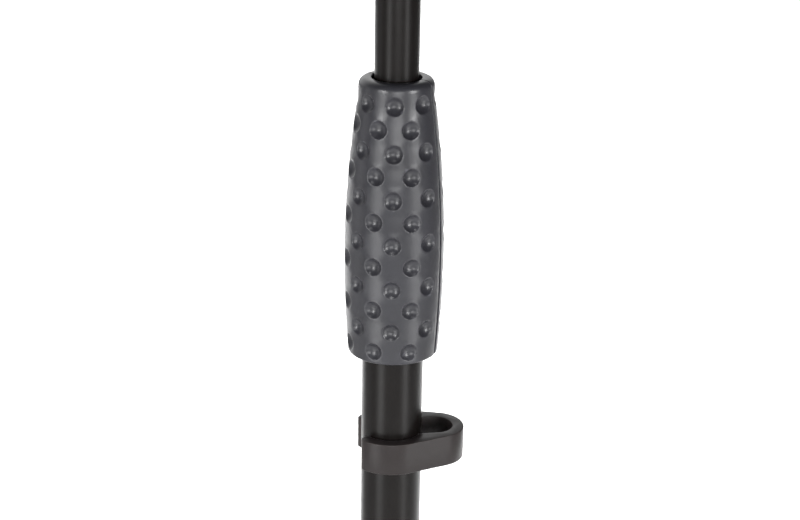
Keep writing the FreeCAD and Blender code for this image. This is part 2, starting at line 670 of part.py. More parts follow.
def tilt_socket():
    """Fork on top of the mast that carries the tilt bolt."""
    base = dim("mast_top") - "socket_drop"
    slot_floor = dim("tilt_height") - "slot_depth"
    sleeve = cylinder("socket_sleeve", "socket_radius", slot_floor - base, (0, 0, base))
    block = box("fork_block",
                (-dim("fork_half_width"), -dim("fork_radius"), slot_floor - "fork_root"),
                ("fork_half_width", "fork_radius", "tilt_height"))
    crown = cylinder("fork_crown", "fork_radius", dim("fork_half_width") * 2,
                     (-dim("fork_half_width"), 0, "tilt_height"), "X")
    half_slot = dim("tongue_half_width") + "side_gap"
    deep = dim("fork_radius") + MARGIN
    slot = box("fork_slot", (-half_slot, -deep, slot_floor),
               (half_slot, deep, dim("tilt_height") + deep))
    bore = cylinder("socket_bore", "upper_radius", "socket_drop", (0, 0, base))
    hole = cylinder("fork_hole", "tilt_bolt_radius", dim("fork_half_width") * 2,
                    (-dim("fork_half_width"), 0, "tilt_height"), "X")
    node("tilt_socket", cut("tilt_socket", joined("socket_solid", sleeve, block, crown), slot, bore,
                            hole))


def tilt_bolt():
    half = dim("fork_half_width")
    shank = cylinder("tilt_shank", "tilt_bolt_radius",
                     half * 2 + "knob_height" - "bolt_end_sink", (-half, 0, "tilt_height"), "X")
    head = hexagon("tilt_head", "bolt_head_radius", "bolt_head_height",
                   (-half - "bolt_head_height", 0, "tilt_height"), "X")
    node("tilt_bolt", joined("tilt_bolt", shank, head))


def tilt_knob():
    """Lobed knob that clamps the fork on the desk's tongue."""
    start = dim("fork_half_width") + "side_gap"
    core = dim("knob_radius") - dim("knob_lobe_radius") / 2
    body = cylinder("knob_core", core, "knob_height", (start, 0, "tilt_height"), "X")
    lobes = []
    lobe_count = int(size("knob_lobes"))
    reach = (dim("knob_radius") - "knob_lobe_radius") * "knob_lobe_spread"
    for number in range(lobe_count):
        angle = math.radians(360 * number / lobe_count)
        spot = (start, reach * math.cos(angle), dim("tilt_height") + reach * math.sin(angle))
        lobes.append(cylinder(f"knob_lobe_{number + 1}", "knob_lobe_radius", "knob_height", spot,
                              "X"))
    bore = cylinder("knob_bore", dim("tilt_bolt_radius") + "running_gap", "knob_height",
                    (start, 0, "tilt_height"), "X")
    node("tilt_knob", cut("tilt_knob", joined("knob_solid", body, *lobes), bore))


def leant(item):
    """Lean a desk piece back about the tilt bolt; desk pieces are drawn upright."""
    axle = FreeCAD.Vector(0, 0, size("tilt_height"))
    lean = FreeCAD.Rotation(FreeCAD.Vector(1, 0, 0), -size("desk_lean"))
    item.Placement = FreeCAD.Placement(FreeCAD.Vector(), lean, axle)
    return item


def above_axle(height):
    return dim("tilt_height") + height


RIVET_SPOTS = [(x, z) for x in (-1, 1) for z in (-1, 1)]
DESK_BACK = -dim("desk_offset")


def rivet_shanks(name):
    length = dim("desk_sheet") + "flange_thickness"
    front = DESK_BACK - "desk_sheet"
    return [cylinder(f"{name}_{number}", "rivet_radius", length,
                     (dim("rivet_spacing") * x, front, above_axle(dim("rivet_spacing") * z)), "Y")
            for number, (x, z) in enumerate(RIVET_SPOTS, start=1)]


def desk_bracket():
    half = dim("tongue_half_width")
    flange_front = DESK_BACK + "flange_thickness"
    eye = cylinder("tongue_eye", "tongue_radius", half * 2, (-half, 0, "tilt_height"), "X")
    arm = box("tongue_arm", (-half, flange_front, above_axle(-dim("tongue_radius"))),
              (half, 0, above_axle("tongue_radius")))
    flange = box("flange", (-dim("flange_half"), DESK_BACK, above_axle(-dim("flange_half"))),
                 ("flange_half", flange_front, above_axle("flange_half")))
    hole = cylinder("tongue_hole", dim("tilt_bolt_radius") + "running_gap", half * 2,
                    (-half, 0, "tilt_height"), "X")
    bracket = cut("desk_bracket", joined("bracket_solid", eye, arm, flange), hole,
                  *rivet_shanks("bracket_rivet_hole"))
    node("desk_bracket", leant(bracket))


def desk_holes():
    """Round holes in rows on both sides of the bracket."""
    front = DESK_BACK - "desk_sheet"
    holes = []
    for column in range(int(size("hole_columns"))):
        for line in range(int(size("hole_rows"))):
            for side in (-1, 1):
                across = (dim("hole_first") + dim("hole_pitch") * column) * side
                height = above_axle(dim("hole_lowest") + dim("hole_rise") * line)
                holes.append(cylinder(f"desk_hole_{len(holes) + 1}", "hole_radius", "desk_sheet",
                                      (across, front, height), "Y"))
    return grouped("desk_holes", holes)


def desk_panel():
    """Sheet desk, bent at the foot into a ledge with a lip."""
    front = DESK_BACK - "desk_sheet"
    floor = above_axle(-dim("desk_below"))
    lip_back = front - "ledge_depth"
    section = [(DESK_BACK, floor), (DESK_BACK, above_axle("desk_above")),
               (front, above_axle("desk_above")), (front, floor + "desk_sheet"),
               (lip_back, floor + "desk_sheet"), (lip_back, floor + "lip_height"),
               (lip_back - "desk_sheet", floor + "lip_height"), (lip_back - "desk_sheet", floor)]
    sheet_body = padded("desk_sheet_body", "YZ_Plane", section, "desk_width")
    doc.recompute()
    rounded = doc.addObject("Part::Fillet", "desk_rounded")
    rounded.Base = sheet_body
    top = above_axle("desk_above").value
    radius = size("desk_corner_radius")
    near = 1e-6
    corners = [number for number, edge in enumerate(sheet_body.Shape.Edges, start=1)
               if all(abs(vertex.Z - top) < near for vertex in edge.Vertexes)
               and edge.Length < size("desk_sheet") + near]
    rounded.Edges = [(number, radius, radius) for number in corners]
    panel = cut("desk_panel", rounded, desk_holes(), *rivet_shanks("panel_rivet_hole"))
    node("desk_panel", leant(panel))


def desk_rivets():
    front = DESK_BACK - "desk_sheet"
    back = DESK_BACK + "flange_thickness"
    rivets = []
    for number, shank in enumerate(rivet_shanks("rivet_shank"), start=1):
        x, z = RIVET_SPOTS[number - 1]
        spot = (dim("rivet_spacing") * x, above_axle(dim("rivet_spacing") * z))
        heads = [cylinder(f"rivet_{side}_{number}", "rivet_head_radius", "rivet_head_height",
                          (spot[0], start, spot[1]), "Y")
                 for side, start in (("front", front - "rivet_head_height"), ("back", back))]
        rivets.append(joined(f"rivet_{number}", shank, *heads))
    node("desk_rivets", leant(grouped("desk_rivets", rivets)))


column_foot()
hub()
hub_screw()
pivot_bolts()
for leg_number, leg_turn in enumerate(LEG_TURNS, start=1):
    leg(leg_number, leg_turn)
lower_tube()
upper_tube()
mast_plug()
guide_bush()
front_shell()
lever_shell()
lever_pins()
lower_collar()
collar_screws()
upper_bush()
lock_plate()
lock_spring()
cable_clip()
tilt_socket()
tilt_bolt()
tilt_knob()
desk_bracket()
desk_panel()
desk_rivets()
doc.recompute()

for item in doc.Objects:
    if {"Invalid", "Error"} & set(item.State):
        raise RuntimeError(f"{item.Name} failed to build: {item.State}")
for item in nodes:
    if item.Shape.isNull() or not item.Shape.isValid() or not item.Shape.Solids:
        raise RuntimeError(f"{item.Label} has no valid solid")
os.makedirs("parts", exist_ok=True)
for item in nodes:
    item.Shape.exportStep(f"parts/{item.Label}.step")
    print(item.Label, len(item.Shape.Solids), round(item.Shape.Volume))
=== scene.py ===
"""Looks of the music stand: dimpled squeeze grip, coated tubes, cable clip, tripod base and desk.

Blender units are metres; sizes in this file are millimetres and go through MM.
"""
import json
import math

import bpy
from mathutils import Matrix, Vector


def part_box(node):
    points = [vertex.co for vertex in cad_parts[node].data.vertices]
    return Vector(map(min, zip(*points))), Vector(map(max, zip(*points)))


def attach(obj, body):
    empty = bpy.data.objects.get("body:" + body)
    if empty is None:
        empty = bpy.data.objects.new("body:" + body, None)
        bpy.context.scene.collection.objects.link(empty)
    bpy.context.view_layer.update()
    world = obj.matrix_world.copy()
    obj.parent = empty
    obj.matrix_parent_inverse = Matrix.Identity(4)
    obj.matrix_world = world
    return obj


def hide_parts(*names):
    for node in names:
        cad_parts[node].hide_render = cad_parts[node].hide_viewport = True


MM = 0.001
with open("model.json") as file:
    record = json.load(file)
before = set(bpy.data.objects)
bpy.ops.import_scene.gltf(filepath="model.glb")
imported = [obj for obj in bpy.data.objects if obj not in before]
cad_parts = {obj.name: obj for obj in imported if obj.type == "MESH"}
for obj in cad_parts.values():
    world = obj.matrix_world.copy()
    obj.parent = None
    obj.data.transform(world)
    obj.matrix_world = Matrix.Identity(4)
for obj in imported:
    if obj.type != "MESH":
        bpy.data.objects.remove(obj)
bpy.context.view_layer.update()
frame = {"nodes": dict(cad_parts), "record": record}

# ---- places read from the frame, in millimetres ------------------------------------------------


def low_high(node):
    low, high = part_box(node)
    return [value / MM for value in low], [value / MM for value in high]


shell_low, shell_high = low_high("front_shell")
GRIP_BASE = shell_low[2]
GRIP_HEIGHT = shell_high[2] - shell_low[2]
BELLY_RADIUS = (shell_high[0] - shell_low[0]) / 2
lower_low, lower_high = low_high("lower_tube")
LOWER_RADIUS = (lower_high[0] - lower_low[0]) / 2
upper_low, upper_high = low_high("upper_tube")
BEAD_RADIUS = (upper_high[0] - upper_low[0]) / 2
clip_low, clip_high = low_high("cable_clip")


# ---- modelling helpers -------------------------------------------------------------------------

def deselect():
    bpy.ops.object.select_all(action="DESELECT")


def new_piece(name, points, edges=(), faces=()):
    """A mesh object from points in millimetres, made active and the only one selected."""
    mesh = bpy.data.meshes.new(name)
    mesh.from_pydata([Vector(point) * MM for point in points], edges, faces)
    piece = bpy.data.objects.new(name, mesh)
    bpy.context.collection.objects.link(piece)
    pick(piece)
    return piece


def pick(piece):
    deselect()
    piece.select_set(True)
    bpy.context.view_layer.objects.active = piece


def edit_all():
    bpy.ops.object.mode_set(mode="EDIT")
    bpy.ops.mesh.select_all(action="SELECT")


def leave_edit():
    bpy.ops.object.mode_set(mode="OBJECT")


def tidy_normals(piece):
    pick(piece)
    edit_all()
    bpy.ops.mesh.remove_doubles(threshold=0.004 * MM)
    bpy.ops.mesh.normals_make_consistent(inside=False)
    leave_edit()


def apply_modifier(piece, kind, **settings):
    pick(piece)
    modifier = piece.modifiers.new(kind.lower(), kind)
    for key, value in settings.items():
        setattr(modifier, key, value)
    bpy.ops.object.modifier_apply(modifier=modifier.name)


def round_edges(piece, width, segments=3, angle=32):
    apply_modifier(piece, "BEVEL", width=width * MM, segments=segments, limit_method="ANGLE",
                   angle_limit=math.radians(angle), use_clamp_overlap=True,
                   miter_outer="MITER_ARC")


def smooth(piece, angle=32):
    pick(piece)
    bpy.ops.object.shade_smooth_by_angle(angle=math.radians(angle))


def turned(name, outline, steps=128):
    """Spin a closed outline of (radius, height) round the column axis."""
    points = [(radius, 0, height) for radius, height in outline]
    count = len(points)
    piece = new_piece(name, points, [(i, (i + 1) % count) for i in range(count)])
    edit_all()
    bpy.ops.mesh.spin(steps=steps, angle=math.tau, center=(0, 0, 0), axis=(0, 0, 1))
    leave_edit()
    tidy_normals(piece)
    return piece


def softened(node, name, width, body, angle=32, segments=2):
    """A finished copy of a machined or moulded part, its sharp edges rounded."""
    piece = frame["nodes"][node].copy()
    piece.data = piece.data.copy()
    piece.name = name
    piece.parent = None
    bpy.context.collection.objects.link(piece)
    piece.data.materials.clear()
    pick(piece)
    edit_all()
    bpy.ops.mesh.remove_doubles(threshold=0.005 * MM)
    bpy.ops.mesh.dissolve_limited(angle_limit=math.radians(0.5))
    leave_edit()
    round_edges(piece, width, segments, angle)
    smooth(piece)
    apply_modifier(piece, "WEIGHTED_NORMAL", weight=80, keep_sharp=True)
    place(piece, body, node)
    return piece


def place(piece, body, *nodes):
    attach(piece, body)
    if nodes:
        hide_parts(*nodes)


SLOTS = {part["node"]: part["material_slot"] for part in frame["record"]["subparts"]}


# ---- materials ---------------------------------------------------------------------------------

def linear(hex_colour):
    """An sRGB hex colour as linear RGBA."""
    channels = [int(hex_colour[i:i + 2], 16) / 255 for i in (1, 3, 5)]
    flat = [c / 12.92 if c <= 0.04045 else ((c + 0.055) / 1.055) ** 2.4 for c in channels]
    return (*flat, 1.0)


def features(size):
    """Texture scale that makes a pattern's features about a given size in millimetres."""
    return 1 / (size * MM)


def add(tree, kind, inputs=None, output=0, **settings):
    """Add a node, set its properties, fill or link its sockets, and give one of its outputs."""
    made = tree.nodes.new(kind)
    for key, value in settings.items():
        setattr(made, key, value)
    for socket, value in (inputs or {}).items():
        if isinstance(value, bpy.types.NodeSocket):
            tree.links.new(value, made.inputs[socket])
        else:
            made.inputs[socket].default_value = value
    return made.outputs[output] if made.outputs else None


def surface(name):
    """An empty material, its node tree and its Object coordinates."""
    material = bpy.data.materials.new(name)
    material.use_nodes = True
    tree = material.node_tree
    tree.nodes.clear()
    return material, tree, add(tree, "ShaderNodeTexCoord", output="Object")


# Noise gathers round a half: this stretch of it is spread over the whole of a pattern's range.
NOISE_RANGE = {"From Min": 0.3, "From Max": 0.7}
# Pointiness of proud edges, from where the paler edge colour begins to where it is complete: wear
# on the metal parts, a painted highlight on the plastics.
EDGE_RANGE = {"From Min": 0.52, "From Max": 0.6}


def powder_coat_tube():
    """Satin black powder coat on drawn tube: faint orange peel softens its streaks of light."""
    material, tree, spot = surface("powder_coat_satin_black")
    mottle = add(tree, "ShaderNodeTexNoise",
                 {"Vector": spot, "Scale": features(9.0), "Detail": 3.0})
    share = add(tree, "ShaderNodeMapRange", {"Value": mottle, **NOISE_RANGE})
    colour = add(tree, "ShaderNodeMix", {0: share, 6: linear("#0d0a09"), 7: linear("#110e0d")}, 2,
                 data_type="RGBA")
    peel = add(tree, "ShaderNodeTexNoise", {"Vector": spot, "Scale": features(1.6)})
    grit = add(tree, "ShaderNodeTexNoise", {"Vector": spot, "Scale": features(0.4)})
    peeled = add(tree, "ShaderNodeBump",
                 {"Height": peel, "Distance": 0.008 * MM, "Strength": 0.6})
    normal = add(tree, "ShaderNodeBump",
                 {"Height": grit, "Distance": 0.003 * MM, "Strength": 0.5, "Normal": peeled})
    cloud = add(tree, "ShaderNodeTexNoise", {"Vector": spot, "Scale": features(12.0)})
    rough = add(tree, "ShaderNodeMapRange",
                {"Value": cloud, "To Min": 0.29, "To Max": 0.34, **NOISE_RANGE})
    shader = add(tree, "ShaderNodeBsdfPrincipled",
                 {"Base Color": colour, "Roughness": rough, "Normal": normal,
                  "Specular IOR Level": 0.22, "IOR": 1.48})
    add(tree, "ShaderNodeOutputMaterial", {"Surface": shader})
    return material


def powder_coat_sheet():
    """Black textured powder coat on sheet steel: a fine wrinkle breaks up the shine."""
    material, tree, spot = surface("powder_coat_textured_black")
    mottle = add(tree, "ShaderNodeTexNoise",
                 {"Vector": spot, "Scale": features(14.0), "Detail": 4.0})
    share = add(tree, "ShaderNodeMapRange", {"Value": mottle, **NOISE_RANGE})
    colour = add(tree, "ShaderNodeMix", {0: share, 6: linear("#1d1d1e"), 7: linear("#252524")}, 2,
                 data_type="RGBA")
    edge = add(tree, "ShaderNodeNewGeometry", output="Pointiness")
    wear_and_highlight = add(tree, "ShaderNodeMapRange", {"Value": edge, **EDGE_RANGE})
    worn_and_highlit = add(tree, "ShaderNodeMix", {0: wear_and_highlight, 6: colour, 7: linear("#3a3937")}, 2,
               data_type="RGBA")
    wrinkle = add(tree, "ShaderNodeTexNoise",
                  {"Vector": spot, "Scale": features(0.8), "Detail": 3.0, "Roughness": 0.6})
    normal = add(tree, "ShaderNodeBump",
                 {"Height": wrinkle, "Distance": 0.07 * MM, "Strength": 0.9})
    rough = add(tree, "ShaderNodeMapRange",
                {"Value": wrinkle, "To Min": 0.44, "To Max": 0.6, **NOISE_RANGE})
    shader = add(tree, "ShaderNodeBsdfPrincipled",
                 {"Base Color": worn_and_highlit, "Roughness": rough, "Normal": normal,
                  "Specular IOR Level": 0.5, "IOR": 1.48})
    add(tree, "ShaderNodeOutputMaterial", {"Surface": shader})
    return material


def coated_casting():
    """Zinc die casting, blasted and coated black: a pebbly skin with slightly polished edges."""
    material, tree, spot = surface("coated_die_casting")
    mottle = add(tree, "ShaderNodeTexNoise",
                 {"Vector": spot, "Scale": features(6.0), "Detail": 4.0})
    share = add(tree, "ShaderNodeMapRange", {"Value": mottle, **NOISE_RANGE})
    colour = add(tree, "ShaderNodeMix", {0: share, 6: linear("#1c1c1d"), 7: linear("#29292a")}, 2,
                 data_type="RGBA")
    edge = add(tree, "ShaderNodeNewGeometry", output="Pointiness")
    wear_and_highlight = add(tree, "ShaderNodeMapRange", {"Value": edge, **EDGE_RANGE})
    worn_and_highlit = add(tree, "ShaderNodeMix", {0: wear_and_highlight, 6: colour, 7: linear("#4a4947")}, 2,
               data_type="RGBA")
    pebble = add(tree, "ShaderNodeTexVoronoi", {"Vector": spot, "Scale": features(0.9)})
    pebbled = add(tree, "ShaderNodeBump",
                  {"Height": pebble, "Distance": 0.03 * MM, "Strength": 0.6})
    grit = add(tree, "ShaderNodeTexNoise", {"Vector": spot, "Scale": features(0.4)})
    normal = add(tree, "ShaderNodeBump",
                 {"Height": grit, "Distance": 0.02 * MM, "Strength": 0.6, "Normal": pebbled})
    rough = add(tree, "ShaderNodeMapRange",
                {"Value": mottle, "To Min": 0.4, "To Max": 0.52, **NOISE_RANGE})
    shader = add(tree, "ShaderNodeBsdfPrincipled",
                 {"Base Color": worn_and_highlit, "Roughness": rough, "Normal": normal,
                  "Specular IOR Level": 0.5, "IOR": 1.5})
    add(tree, "ShaderNodeOutputMaterial", {"Surface": shader})
    return material


def moulded_plastic(name, dark, pale, edge_highlight_colour, rough_low, rough_high, specular=0.5):
    """Injection-moulded plastic: fine spark grain, a satin sheen and a painted highlight that
    makes its edges faintly paler.
    """
    material, tree, spot = surface(name)
    flow = add(tree, "ShaderNodeTexNoise",
               {"Vector": spot, "Scale": features(16.0), "Detail": 3.0})
    share = add(tree, "ShaderNodeMapRange", {"Value": flow, **NOISE_RANGE})
    colour = add(tree, "ShaderNodeMix", {0: share, 6: linear(dark), 7: linear(pale)}, 2,
                 data_type="RGBA")
    # Painted highlight: convex edges and dish rims are mixed towards the paler edge colour, in
    # place of the thin bright lines that light draws along them.
    edge = add(tree, "ShaderNodeNewGeometry", output="Pointiness")
    wear_and_highlight = add(tree, "ShaderNodeMapRange", {"Value": edge, **EDGE_RANGE})
    worn_and_highlit = add(tree, "ShaderNodeMix", {0: wear_and_highlight, 6: colour, 7: linear(edge_highlight_colour)}, 2,
               data_type="RGBA")
    spark = add(tree, "ShaderNodeTexNoise",
                {"Vector": spot, "Scale": features(0.42), "Detail": 3.0, "Roughness": 0.6})
    scuff = add(tree, "ShaderNodeTexNoise",
                {"Vector": spot, "Scale": features(2.6), "Detail": 4.0})
    scuffed = add(tree, "ShaderNodeBump",
                  {"Height": scuff, "Distance": 0.008 * MM, "Strength": 0.4})
    normal = add(tree, "ShaderNodeBump",
                 {"Height": spark, "Distance": 0.014 * MM, "Strength": 0.7, "Normal": scuffed})
    rough = add(tree, "ShaderNodeMapRange",
                {"Value": scuff, "To Min": rough_low, "To Max": rough_high, **NOISE_RANGE})
    shader = add(tree, "ShaderNodeBsdfPrincipled",
                 {"Base Color": worn_and_highlit, "Roughness": rough, "Normal": normal,
                  "Specular IOR Level": specular, "IOR": 1.5})
    add(tree, "ShaderNodeOutputMaterial", {"Surface": shader})
    return material


def moulded_rubber():
    """Matt black rubber: dull, with a chalky bloom in its finest texture."""
    material, tree, spot = surface("moulded_rubber")
    bloom = add(tree, "ShaderNodeTexNoise",
                {"Vector": spot, "Scale": features(7.0), "Detail": 5.0, "Roughness": 0.6})
    share = add(tree, "ShaderNodeMapRange", {"Value": bloom, **NOISE_RANGE})
    colour = add(tree, "ShaderNodeMix", {0: share, 6: linear("#171717"), 7: linear("#262625")}, 2,
                 data_type="RGBA")
    pores = add(tree, "ShaderNodeTexNoise",
                {"Vector": spot, "Scale": features(0.5), "Detail": 3.0})
    normal = add(tree, "ShaderNodeBump",
                 {"Height": pores, "Distance": 0.03 * MM, "Strength": 0.7})
    rough = add(tree, "ShaderNodeMapRange",
                {"Value": bloom, "To Min": 0.66, "To Max": 0.82, **NOISE_RANGE})
    shader = add(tree, "ShaderNodeBsdfPrincipled",
                 {"Base Color": colour, "Roughness": rough, "Normal": normal,
                  "Specular IOR Level": 0.35, "IOR": 1.52})
    add(tree, "ShaderNodeOutputMaterial", {"Surface": shader})
    return material


def zinc_plate():
    """Bright zinc plate on steel screws and springs: cool grey metal, faintly clouded."""
    material, tree, spot = surface("zinc_plated_steel")
    cloud = add(tree, "ShaderNodeTexNoise",
                {"Vector": spot, "Scale": features(2.5), "Detail": 4.0})
    share = add(tree, "ShaderNodeMapRange", {"Value": cloud, **NOISE_RANGE})
    colour = add(tree, "ShaderNodeMix", {0: share, 6: linear("#9a9da0"), 7: linear("#b9bbbd")}, 2,
                 data_type="RGBA")
    grit = add(tree, "ShaderNodeTexNoise", {"Vector": spot, "Scale": features(0.2)})
    normal = add(tree, "ShaderNodeBump",
                 {"Height": grit, "Distance": 0.01 * MM, "Strength": 0.5})
    rough = add(tree, "ShaderNodeMapRange",
                {"Value": cloud, "To Min": 0.24, "To Max": 0.38, **NOISE_RANGE})
    shader = add(tree, "ShaderNodeBsdfPrincipled",
                 {"Base Color": colour, "Metallic": 1.0, "Roughness": rough, "Normal": normal})
    add(tree, "ShaderNodeOutputMaterial", {"Surface": shader})
    return material


MATERIALS = {
    "black_tube": powder_coat_tube(),
    "black_sheet": powder_coat_sheet(),
    "cast_metal": coated_casting(),
    # grey ABS of the grip: cool and half-glossy, so the dishes catch small soft lights; its third
    # colour is a painted highlight on the dish rims and edges
    "grip_plastic": moulded_plastic("moulded_abs_grey", "#29292d", "#2d2d32", "#46464c",
                                    0.31, 0.34),
    # dark nylon of the clip: a little warmer and duller than the grip; its third colour is a
    # painted highlight on its edges
    "clip_plastic": moulded_plastic("moulded_nylon_grey", "#1f1b1b", "#231f1f", "#4e4847",
                                    0.36, 0.4, 0.24),
    # black ABS of the knob: dull, with a painted highlight on its edges
    "knob_plastic": moulded_plastic("moulded_abs_black", "#1c1c1e", "#242426", "#333335",
                                    0.38, 0.48),
    # black nylon of bushes and plugs: nearly matt, with a faint painted highlight on its edges
    "nylon": moulded_plastic("moulded_nylon_black", "#121213", "#181819", "#202021", 0.42, 0.52),
    "rubber": moulded_rubber(),
    "steel": zinc_plate(),
}


def dress(piece, slot_name):
    piece.data.materials.clear()
    piece.data.materials.append(MATERIALS[slot_name])


# ---- squeeze grip ------------------------------------------------------------------------------

BELLY_HEIGHT, BASE_RADIUS, BASE_ROUND = 42.0, 18.4, 1.0
SHOULDER_HEIGHT, SHOULDER_RADIUS, NECK_RADIUS, NECK_ROUND = 105.0, 15.3, 14.9, 3.0
MOUTH_RADIUS, LIP_RADIUS, FLOOR_THICKNESS = 9.9, 15.0, 2.0
CAVITY_RADIUS, CAVITY_TAPER, CAVITY_TOP_RADIUS, CAVITY_TOP = 16.0, 70.0, 12.6, 108.0
CAVITY_MIDDLE, MOUTH_ROUND, MOUTH_SOFT = 24.0, 0.35, 0.1
DISH_RADIUS, DISH_DEPTH = 3.6, 1.9
DISH_ROWS, FIRST_ROW, ROW_PITCH = 12, 5.5, 9.12
RING = 24
CELL_ANGLE = 45.0
STEP_ANGLE = CELL_ANGLE / 8
SEAM_GAP, SEAM_MOUTH, SEAM_BEND, SEAM_START = 0.15, 1.9, 104.0, 81.0


def arc_radius(rise, run):
    return (run * run + rise * rise) / (2 * rise)


UPPER_ARC = arc_radius(BELLY_RADIUS - SHOULDER_RADIUS, SHOULDER_HEIGHT - BELLY_HEIGHT)
LOWER_ARC = arc_radius(BELLY_RADIUS - BASE_RADIUS, BELLY_HEIGHT - BASE_ROUND)


def barrel(height):
    """Outer radius of the grip and its slope at a height above its foot."""
    neck_top = GRIP_HEIGHT - NECK_ROUND
    if height > SHOULDER_HEIGHT:
        share = (height - SHOULDER_HEIGHT) / (neck_top - SHOULDER_HEIGHT)
        slope = (NECK_RADIUS - SHOULDER_RADIUS) / (neck_top - SHOULDER_HEIGHT)
        return SHOULDER_RADIUS + (NECK_RADIUS - SHOULDER_RADIUS) * share, slope
    away = height - BELLY_HEIGHT
    arc = UPPER_ARC if away > 0 else LOWER_ARC
    depth = math.sqrt(arc * arc - away * away)
    return BELLY_RADIUS - arc + depth, -away / depth


def dish_depth(reach):
    """Depth of the pressed dish at a distance from its middle."""
    ball = (DISH_RADIUS ** 2 + DISH_DEPTH ** 2) / (2 * DISH_DEPTH)
    return math.sqrt(ball * ball - reach * reach) - (ball - DISH_DEPTH)


DISH_RINGS = [(4.05, 0.0), (3.78, 0.0)] + [
    (reach, dish_depth(reach)) for reach in (3.5, 3.2, 2.4, 1.45, 0.6)]


def seam_limit(height, radius, wedge):
    """Largest angle from the middle of a shell at which it still stands clear of the seam."""
    gap = SEAM_GAP
    if wedge and height < SEAM_BEND:
        gap += (SEAM_MOUTH - SEAM_GAP) * (SEAM_BEND - height) / SEAM_BEND
    return 90 - math.degrees(math.asin(gap / radius))


def on_shell(angle, radius, height, facing, wedge):
    """A point of the shell; the last stretch before the seam is drawn in to the seam's edge."""
    if abs(angle) > SEAM_START:
        share = (abs(angle) - SEAM_START) / (90 - SEAM_START)
        limit = seam_limit(height, radius, wedge)
        angle = math.copysign(SEAM_START + share * (limit - SEAM_START), angle)
    turn = math.radians(facing + angle)
    return Vector((radius * math.cos(turn), radius * math.sin(turn), GRIP_BASE + height))


def cell_border(left, right, bottom, top):
    """Angle and height of the points round a brick-shaped cell, from its lower left corner."""
    across = int(round((right - left) / STEP_ANGLE))
    tall = (RING - 2 * across) // 2
    border = [(left + STEP_ANGLE * i, bottom) for i in range(across)]
    border += [(right, bottom + (top - bottom) * i / tall) for i in range(tall)]
    border += [(right - STEP_ANGLE * i, top) for i in range(across)]
    border += [(left, top - (top - bottom) * i / tall) for i in range(tall)]
    return border


def dished_cell(points, faces, middle, centre_height, bottom, top, facing, wedge):
    """One brick of the skin with a dish pressed in its middle."""
    radius, slope = barrel(centre_height)
    lean = math.atan(slope)
    turn = math.radians(facing + middle)
    outward = Vector((math.cos(turn) * math.cos(lean), math.sin(turn) * math.cos(lean),
                      -math.sin(lean)))
    rings = []
    border = cell_border(middle - CELL_ANGLE / 2, middle + CELL_ANGLE / 2, bottom, top)
    ring = []
    for angle, height in border:
        ring.append(len(points))
        points.append(on_shell(angle, barrel(height)[0], height, facing, wedge))
    rings.append(ring)
    corner = math.pi + math.atan2(centre_height - bottom, math.radians(CELL_ANGLE / 2) * radius)
    for reach, depth in DISH_RINGS:
        ring = []
        for number in range(RING):
            spin = corner + math.tau * number / RING
            angle = middle + math.degrees(reach * math.cos(spin) / radius)
            height = centre_height + reach * math.sin(spin) * math.cos(lean)
            ring.append(len(points))
            skin = on_shell(angle, barrel(height)[0], height, facing, wedge)
            points.append(skin - outward * depth)
        rings.append(ring)
    for outer, inner in zip(rings, rings[1:]):
        for i in range(RING):
            j = (i + 1) % RING
            faces.append((outer[i], outer[j], inner[j], inner[i]))
    points.append(on_shell(middle, radius, centre_height, facing, wedge) - outward * DISH_DEPTH)
    hub = len(points) - 1
    inner = rings[-1]
    for i in range(RING):
        faces.append((inner[i], inner[(i + 1) % RING], hub))


def plain_cell(points, faces, left, bottom, top, facing, wedge):
    """Half a brick without a dish, at the end of every second row."""
    steps = 4
    first = len(points)
    for rise in range(steps + 1):
        height = bottom + (top - bottom) * rise / steps
        for across in range(steps + 1):
            points.append(on_shell(left + STEP_ANGLE * across, barrel(height)[0], height,
                                   facing, wedge))
    for rise in range(steps):
        for across in range(steps):
            corner = first + rise * (steps + 1) + across
            faces.append((corner, corner + 1, corner + steps + 2, corner + steps + 1))


def shell_back():
    """Radius and height of the rings from the skin's lower edge, round the inside, to its top."""
    neck_top = GRIP_HEIGHT - NECK_ROUND
    rings = []
    for step in range(1, 5):
        turn = math.pi / 2 * step / 4
        rings.append((BASE_RADIUS - BASE_ROUND * (1 - math.cos(turn)),
                      BASE_ROUND * (1 - math.sin(turn)), False))
    rings += [(LIP_RADIUS, 0, True), (LIP_RADIUS, FLOOR_THICKNESS, True),
              (CAVITY_RADIUS, FLOOR_THICKNESS, True), (CAVITY_RADIUS, CAVITY_MIDDLE, False),
              (CAVITY_RADIUS, CAVITY_TAPER, True), (CAVITY_TOP_RADIUS, CAVITY_TOP, True),
              (CAVITY_TOP_RADIUS, neck_top, True), (MOUTH_RADIUS, neck_top, True),
              (MOUTH_RADIUS, GRIP_HEIGHT - MOUTH_ROUND, False),
              (MOUTH_RADIUS + MOUTH_SOFT, GRIP_HEIGHT - MOUTH_SOFT, False),
              (MOUTH_RADIUS + MOUTH_ROUND, GRIP_HEIGHT, False)]
    for step in range(0, 5):
        turn = math.pi / 2 * (1 - step / 5)
        rings.append((NECK_RADIUS - NECK_ROUND + NECK_ROUND * math.cos(turn),
                      neck_top + NECK_ROUND * math.sin(turn), False))
    return rings


